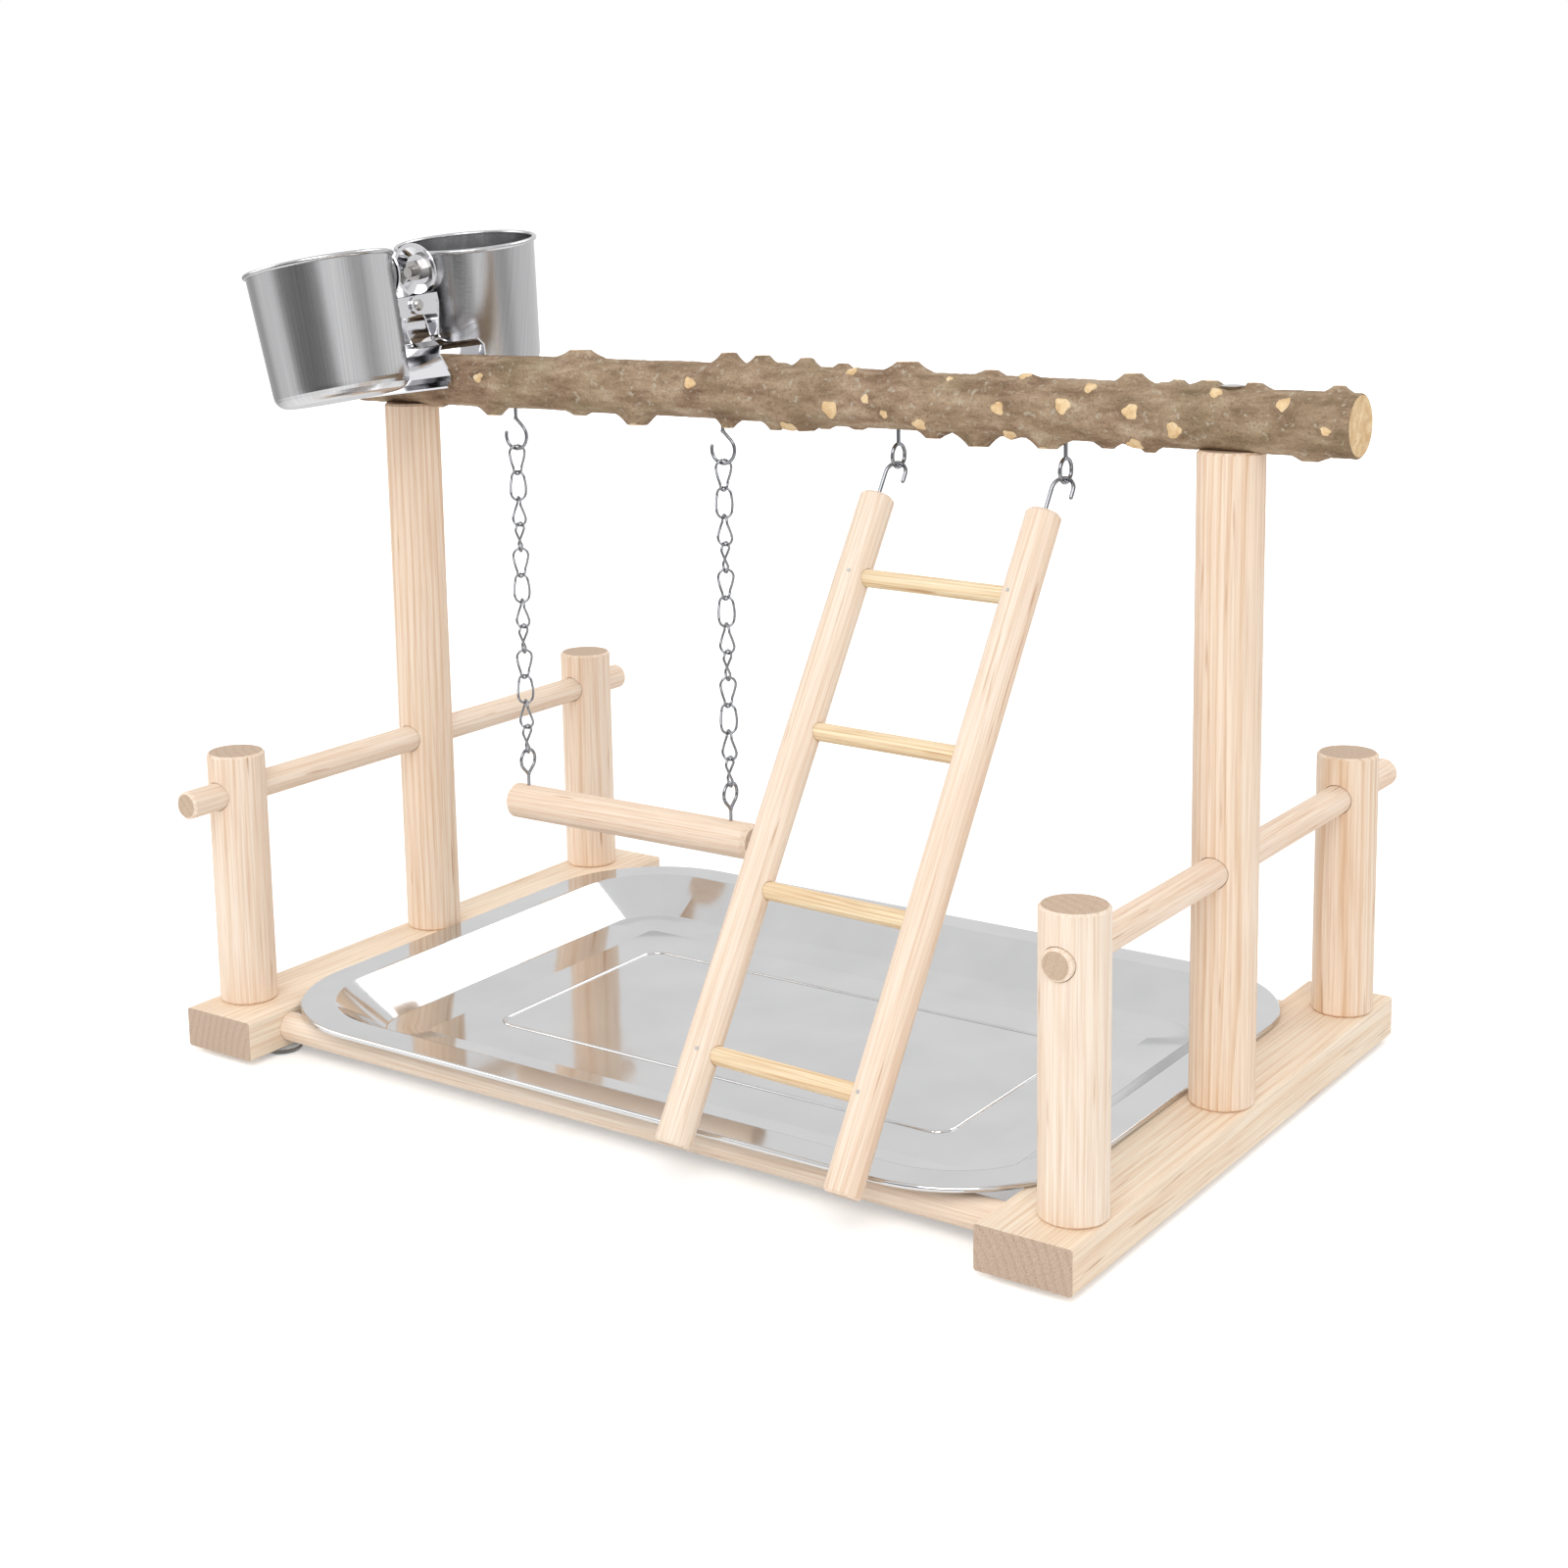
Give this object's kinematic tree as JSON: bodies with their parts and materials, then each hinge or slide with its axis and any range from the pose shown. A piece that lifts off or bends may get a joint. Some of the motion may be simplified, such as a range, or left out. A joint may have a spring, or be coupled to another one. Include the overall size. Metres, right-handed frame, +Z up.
{
  "type": "parrot play stand",
  "caption": "Tabletop parrot play stand with a bark-covered branch perch, chain swing, hooked ladder, side perches, steel tray and clip-on food cups.",
  "frame": {"origin": "on the ground, under the middle of the whole outline: 4.4 mm to the right of and 3.1 mm behind the middle of the wooden base", "axes": "+X from the cup end of the branch to its free end, +Y from the ladder side to the back, +Z up"},
  "size_m": [0.3883, 0.2501, 0.2736],
  "materials": {
    "pine": "sanded, unvarnished",
    "rung_wood": "sanded, unvarnished",
    "bark": "natural bark with trimmed knobs",
    "stainless": "mirror polished sheet",
    "brushed": "fine brushed sheet",
    "clip_chrome": "bright plated",
    "wire": "bright zinc plated wire",
    "steel_screw": "plain zinc",
    "clear_rubber": "clear soft bumper"
  },
  "bodies": {
    "stand": {"base_rail_left": "pine", "base_rail_right": "pine", "cross_dowel_front": "pine", "cross_dowel_rear": "pine", "bumper_feet": "clear_rubber", "post_screws": "steel_screw", "tall_post_left": "pine", "tall_post_right": "pine", "short_post_left_front": "pine", "short_post_left_rear": "pine", "short_post_right_front": "pine", "short_post_right_rear": "pine", "side_perch_left": "pine", "side_perch_right": "pine", "branch_perch": "bark", "branch_screws": "steel_screw", "swing_hooks": "wire", "ladder_eyes": "wire", "clip_pivot_pin": "steel_screw", "clip_spring": "clip_chrome"},
    "tray": {"tray": "stainless"},
    "swing_top": {"swing_top_links": "wire"},
    "swing_left": {"swing_chain_left": "wire"},
    "swing_right": {"swing_chain_right": "wire"},
    "swing_left_end": {"swing_bottom_link_left": "wire"},
    "swing_right_end": {"swing_bottom_link_right": "wire"},
    "swing_seat": {"swing_eyes": "wire", "swing_perch": "pine"},
    "ladder": {"ladder_rail_left": "pine", "ladder_rail_right": "pine", "ladder_rung_1": "rung_wood", "ladder_rung_2": "rung_wood", "ladder_rung_3": "rung_wood", "ladder_rung_4": "rung_wood", "ladder_nails": "steel_screw", "ladder_hooks": "wire"},
    "clip_front": {"clip_front_arm": "clip_chrome", "front_cup_bolt": "steel_screw", "front_cup_nut": "steel_screw"},
    "clip_rear": {"clip_rear_arm": "clip_chrome", "rear_cup_bolt": "steel_screw", "rear_cup_nut": "steel_screw"},
    "cup_front": {"front_cup": "brushed"},
    "cup_rear": {"rear_cup": "brushed"}
  },
  "joints": [
    {"name": "tray_lift", "type": "slide", "parent": "stand", "child": "tray", "axis": [0, 0.7071, 0.7071], "range_m": [0, 0.05]},
    {"name": "ladder_swing", "type": "hinge", "parent": "stand", "child": "ladder", "pos_m": [0.0728, -0.0031, 0.203], "axis": [-0.9998, 0, 0.0209], "range_deg": [0, 50]},
    {"name": "swing_fore_aft", "type": "hinge", "parent": "stand", "child": "swing_top", "pos_m": [-0.1149, -0.0031, 0.1994], "axis": [1, 0, 0], "range_deg": [-50, 50]},
    {"name": "swing_sway", "type": "hinge", "parent": "swing_top", "child": "swing_left", "pos_m": [-0.1149, -0.0031, 0.1903], "axis": [0, 1, 0], "range_deg": [-12, 12]},
    {"name": "swing_sway_right", "type": "hinge", "parent": "swing_top", "child": "swing_right", "pos_m": [-0.0249, -0.0031, 0.1903], "axis": [0, 1, 0], "range_deg": [-12, 12]},
    {"name": "swing_level_left", "type": "hinge", "parent": "swing_left", "child": "swing_left_end", "pos_m": [-0.1149, -0.0031, 0.0978], "axis": [0, 1, 0], "range_deg": [-12, 12]},
    {"name": "swing_level_right", "type": "hinge", "parent": "swing_right", "child": "swing_right_end", "pos_m": [-0.0249, -0.0031, 0.0978], "axis": [0, 1, 0], "range_deg": [-12, 12]},
    {"name": "swing_seat_tilt", "type": "hinge", "parent": "swing_left_end", "child": "swing_seat", "pos_m": [-0.1149, -0.0031, 0.08855], "axis": [1, 0, 0], "range_deg": [-30, 30]},
    {"name": "clip_squeeze", "type": "hinge", "parent": "stand", "child": "clip_front", "pos_m": [-0.16529, -0.00455, 0.24844], "axis": [-0.9914, 0, -0.1305], "range_deg": [0, 8], "stiffness_Nm_per_rad": 0.05, "springref_deg": -20.05},
    {"name": "clip_squeeze_rear", "type": "hinge", "parent": "stand", "child": "clip_rear", "pos_m": [-0.16529, -0.00455, 0.24844], "axis": [0.9914, 0, 0.1305], "range_deg": [0, 8]},
    {"name": "front_cup_tilt", "type": "hinge", "parent": "clip_front", "child": "cup_front", "pos_m": [-0.16685, -0.01854, 0.26027], "axis": [0.0041, 0.9995, -0.0311], "range_deg": [-15, 15]},
    {"name": "rear_cup_tilt", "type": "hinge", "parent": "clip_rear", "child": "cup_rear", "pos_m": [-0.16704, 0.00802, 0.26175], "axis": [0.0186, -0.9898, -0.1414], "range_deg": [-15, 15]}
  ],
  "couplings": [
    {"joint": "swing_sway_right", "follows": "swing_sway", "ratio": 1},
    {"joint": "swing_level_left", "follows": "swing_sway", "ratio": -1},
    {"joint": "swing_level_right", "follows": "swing_sway", "ratio": -1},
    {"joint": "clip_squeeze_rear", "follows": "clip_squeeze", "ratio": 1}
  ]
}
